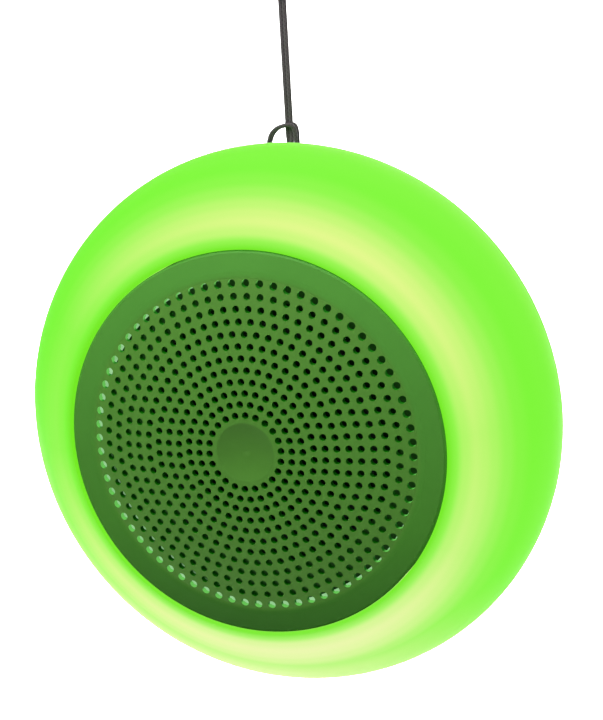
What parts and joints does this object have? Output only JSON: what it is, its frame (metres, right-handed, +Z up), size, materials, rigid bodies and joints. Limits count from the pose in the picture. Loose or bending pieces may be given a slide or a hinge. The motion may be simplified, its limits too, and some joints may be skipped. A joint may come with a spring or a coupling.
{
  "type": "hanging shower speaker",
  "caption": "Round hanging speaker with a glowing frosted shell, perforated domed grille, rear push buttons and a hinged port cover, on a hitched lanyard.",
  "frame": {"origin": "underside of the lanyard loop's top, where a hook carries the speaker", "axes": "+Z up along the lanyard, -Y out of the grille, +X to the right seen from the front"},
  "size_m": [0.13, 0.0643, 0.184],
  "materials": {
    "grille_plastic": "fine satin, dark green",
    "seal_rubber": "matt",
    "clear_guide": "frosted clear, lit",
    "frosted_shell": "frosted translucent, glowing green from inside",
    "housing_plastic": "fine satin, dark green",
    "panel_gloss": "gloss",
    "button_plastic": "satin",
    "white_plastic": "matt white",
    "led_white": "lit LED packages",
    "board_white": "white solder mask",
    "board_green": "green solder mask",
    "chip_black": "matt black",
    "driver_black": "black paint",
    "cone_black": "coated pulp",
    "surround_rubber": "soft rubber",
    "coil_copper": "wound copper wire",
    "spider_cloth": "resin-dipped cloth",
    "plated_steel": "zinc plated",
    "magnet_black": "sintered ferrite",
    "tag_board": "pressed board",
    "battery_foil": "laminated foil",
    "wire_red": "vinyl insulation",
    "cord_grey": "braided polyester",
    "crimp_black": "satin"
  },
  "bodies": {
    "case": {"front_grille": "grille_plastic", "grille_seal": "seal_rubber", "light_guide": "clear_guide", "glow_shell": "frosted_shell", "neck_seal": "seal_rubber", "split_seal": "seal_rubber", "chassis": "housing_plastic", "reflector": "white_plastic", "led_board": "board_white", "leds": "led_white", "driver_frame": "driver_black", "driver_gasket": "seal_rubber", "driver_screws": "plated_steel", "surround": "surround_rubber", "spider": "spider_cloth", "top_plate": "plated_steel", "magnet": "magnet_black", "yoke": "plated_steel", "terminal_strip": "tag_board", "rear_housing": "housing_plastic", "control_panel": "panel_gloss", "foot_ring": "seal_rubber", "case_screws": "plated_steel", "main_board": "board_green", "board_parts": "chip_black", "board_screws": "plated_steel", "key_switches": "chip_black", "usb_socket": "plated_steel", "microphone": "plated_steel", "status_lens": "white_plastic", "battery": "battery_foil", "battery_tray": "white_plastic", "tray_screws": "plated_steel", "speaker_wires": "wire_red", "battery_wires": "wire_red", "led_wires": "wire_red", "cover_pin": "plated_steel", "lanyard_bar": "plated_steel", "lanyard_cord": "cord_grey", "lanyard_crimp": "crimp_black"},
    "voice": {"cone": "cone_black", "dust_cap": "cone_black", "voice_coil": "coil_copper"},
    "cover": {"port_cover": "seal_rubber"},
    "power_key": {"power_button": "button_plastic", "power_plunger": "white_plastic"},
    "play_key": {"play_button": "button_plastic", "play_plunger": "white_plastic"},
    "minus_key": {"minus_button": "button_plastic", "minus_plunger": "white_plastic"},
    "plus_key": {"plus_button": "button_plastic", "plus_plunger": "white_plastic"},
    "light_key": {"light_button": "button_plastic", "light_plunger": "white_plastic"}
  },
  "joints": [
    {"name": "power_press", "type": "slide", "parent": "case", "child": "power_key", "axis": [0, -1, 0], "range_m": [0, 0.0006], "stiffness_N_per_m": 1500},
    {"name": "play_press", "type": "slide", "parent": "case", "child": "play_key", "axis": [0, -1, 0], "range_m": [0, 0.0006], "stiffness_N_per_m": 1500},
    {"name": "minus_press", "type": "slide", "parent": "case", "child": "minus_key", "axis": [0, -1, 0], "range_m": [0, 0.0006], "stiffness_N_per_m": 1500},
    {"name": "plus_press", "type": "slide", "parent": "case", "child": "plus_key", "axis": [0, -1, 0], "range_m": [0, 0.0006], "stiffness_N_per_m": 1500},
    {"name": "light_press", "type": "slide", "parent": "case", "child": "light_key", "axis": [0, -1, 0], "range_m": [0, 0.0006], "stiffness_N_per_m": 1500},
    {"name": "cone_stroke", "type": "slide", "parent": "case", "child": "voice", "axis": [0, -1, 0], "range_m": [-0.0015, 0.0015], "stiffness_N_per_m": 1500, "deforming": ["surround", "spider"]},
    {"name": "cover_hinge", "type": "hinge", "parent": "case", "child": "cover", "pos_m": [0.0015, 0.01505, -0.1416], "axis": [1, 0, 0], "range_deg": [-100, 0]}
  ]
}
